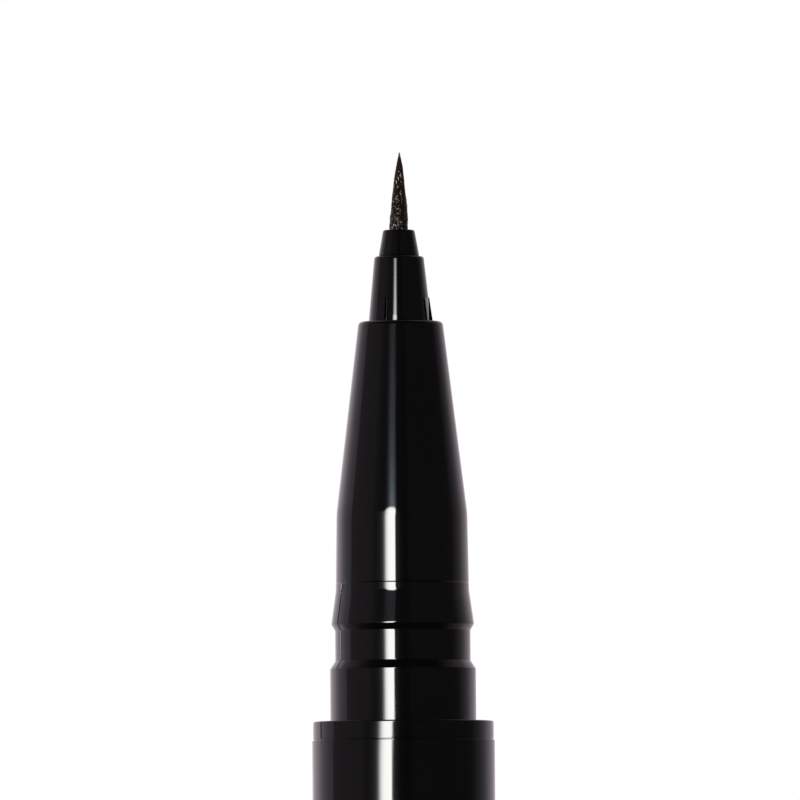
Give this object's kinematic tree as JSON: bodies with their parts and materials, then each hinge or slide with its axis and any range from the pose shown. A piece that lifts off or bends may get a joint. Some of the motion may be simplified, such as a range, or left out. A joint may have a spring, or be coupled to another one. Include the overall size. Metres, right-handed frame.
{
  "type": "liquid eyeliner pen",
  "caption": "Brush-tip liquid eyeliner pen standing tip up, with a snap-fit cap posted on its tail, an ink tank and a fine tapered brush.",
  "frame": {"origin": "middle of the cap's flat closed end, which the pen stands on", "axes": "+Z along the pen towards the brush, -Y towards the picture's camera, +X to its right"},
  "size_m": [0.011, 0.011, 0.1605],
  "materials": {
    "barrel_gloss": "high-gloss black moulded plastic",
    "front_gloss": "high-gloss black moulded plastic with a fine parting line",
    "bristle": "fine dark filaments, wet with ink",
    "wick_fibre": "bonded fibre rod",
    "white_plastic": "plain moulded plastic",
    "milky_plastic": "milky polypropylene",
    "grey_plastic": "plain moulded plastic",
    "seal_rubber": "soft black rubber",
    "steel": "bright stainless steel"
  },
  "bodies": {
    "cap": {"cap_shell": "barrel_gloss", "cap_end_disc": "barrel_gloss", "inner_cap_retainer": "grey_plastic", "inner_cap_spring": "steel"},
    "inner_cap": {"inner_cap": "milky_plastic"},
    "pen": {"brush_tip": "bristle", "tip_holder": "front_gloss", "nozzle": "front_gloss", "front_shell": "front_gloss", "relay_wick": "wick_fibre", "collector": "white_plastic", "tank_plug": "grey_plastic", "tank_seal": "seal_rubber", "ink_tank": "milky_plastic", "tank_stopper": "grey_plastic", "barrel": "barrel_gloss", "tail_plug": "barrel_gloss"},
    "mixing_ball": {"mixing_ball": "steel"}
  },
  "joints": [
    {"name": "cap_pull", "type": "slide", "parent": "cap", "child": "pen", "axis": [0, 0, 1], "range_m": [0, 0.01]},
    {"name": "inner_cap_slide", "type": "slide", "parent": "cap", "child": "inner_cap", "axis": [0, 0, -1], "range_m": [0, 0.0015], "stiffness_N_per_m": 200, "springref_m": -0.002, "deforming": ["inner_cap_spring"]},
    {"name": "mixing_ball_slide", "type": "slide", "parent": "pen", "child": "mixing_ball", "axis": [0, 0, 1], "range_m": [0, 0.0498]}
  ]
}
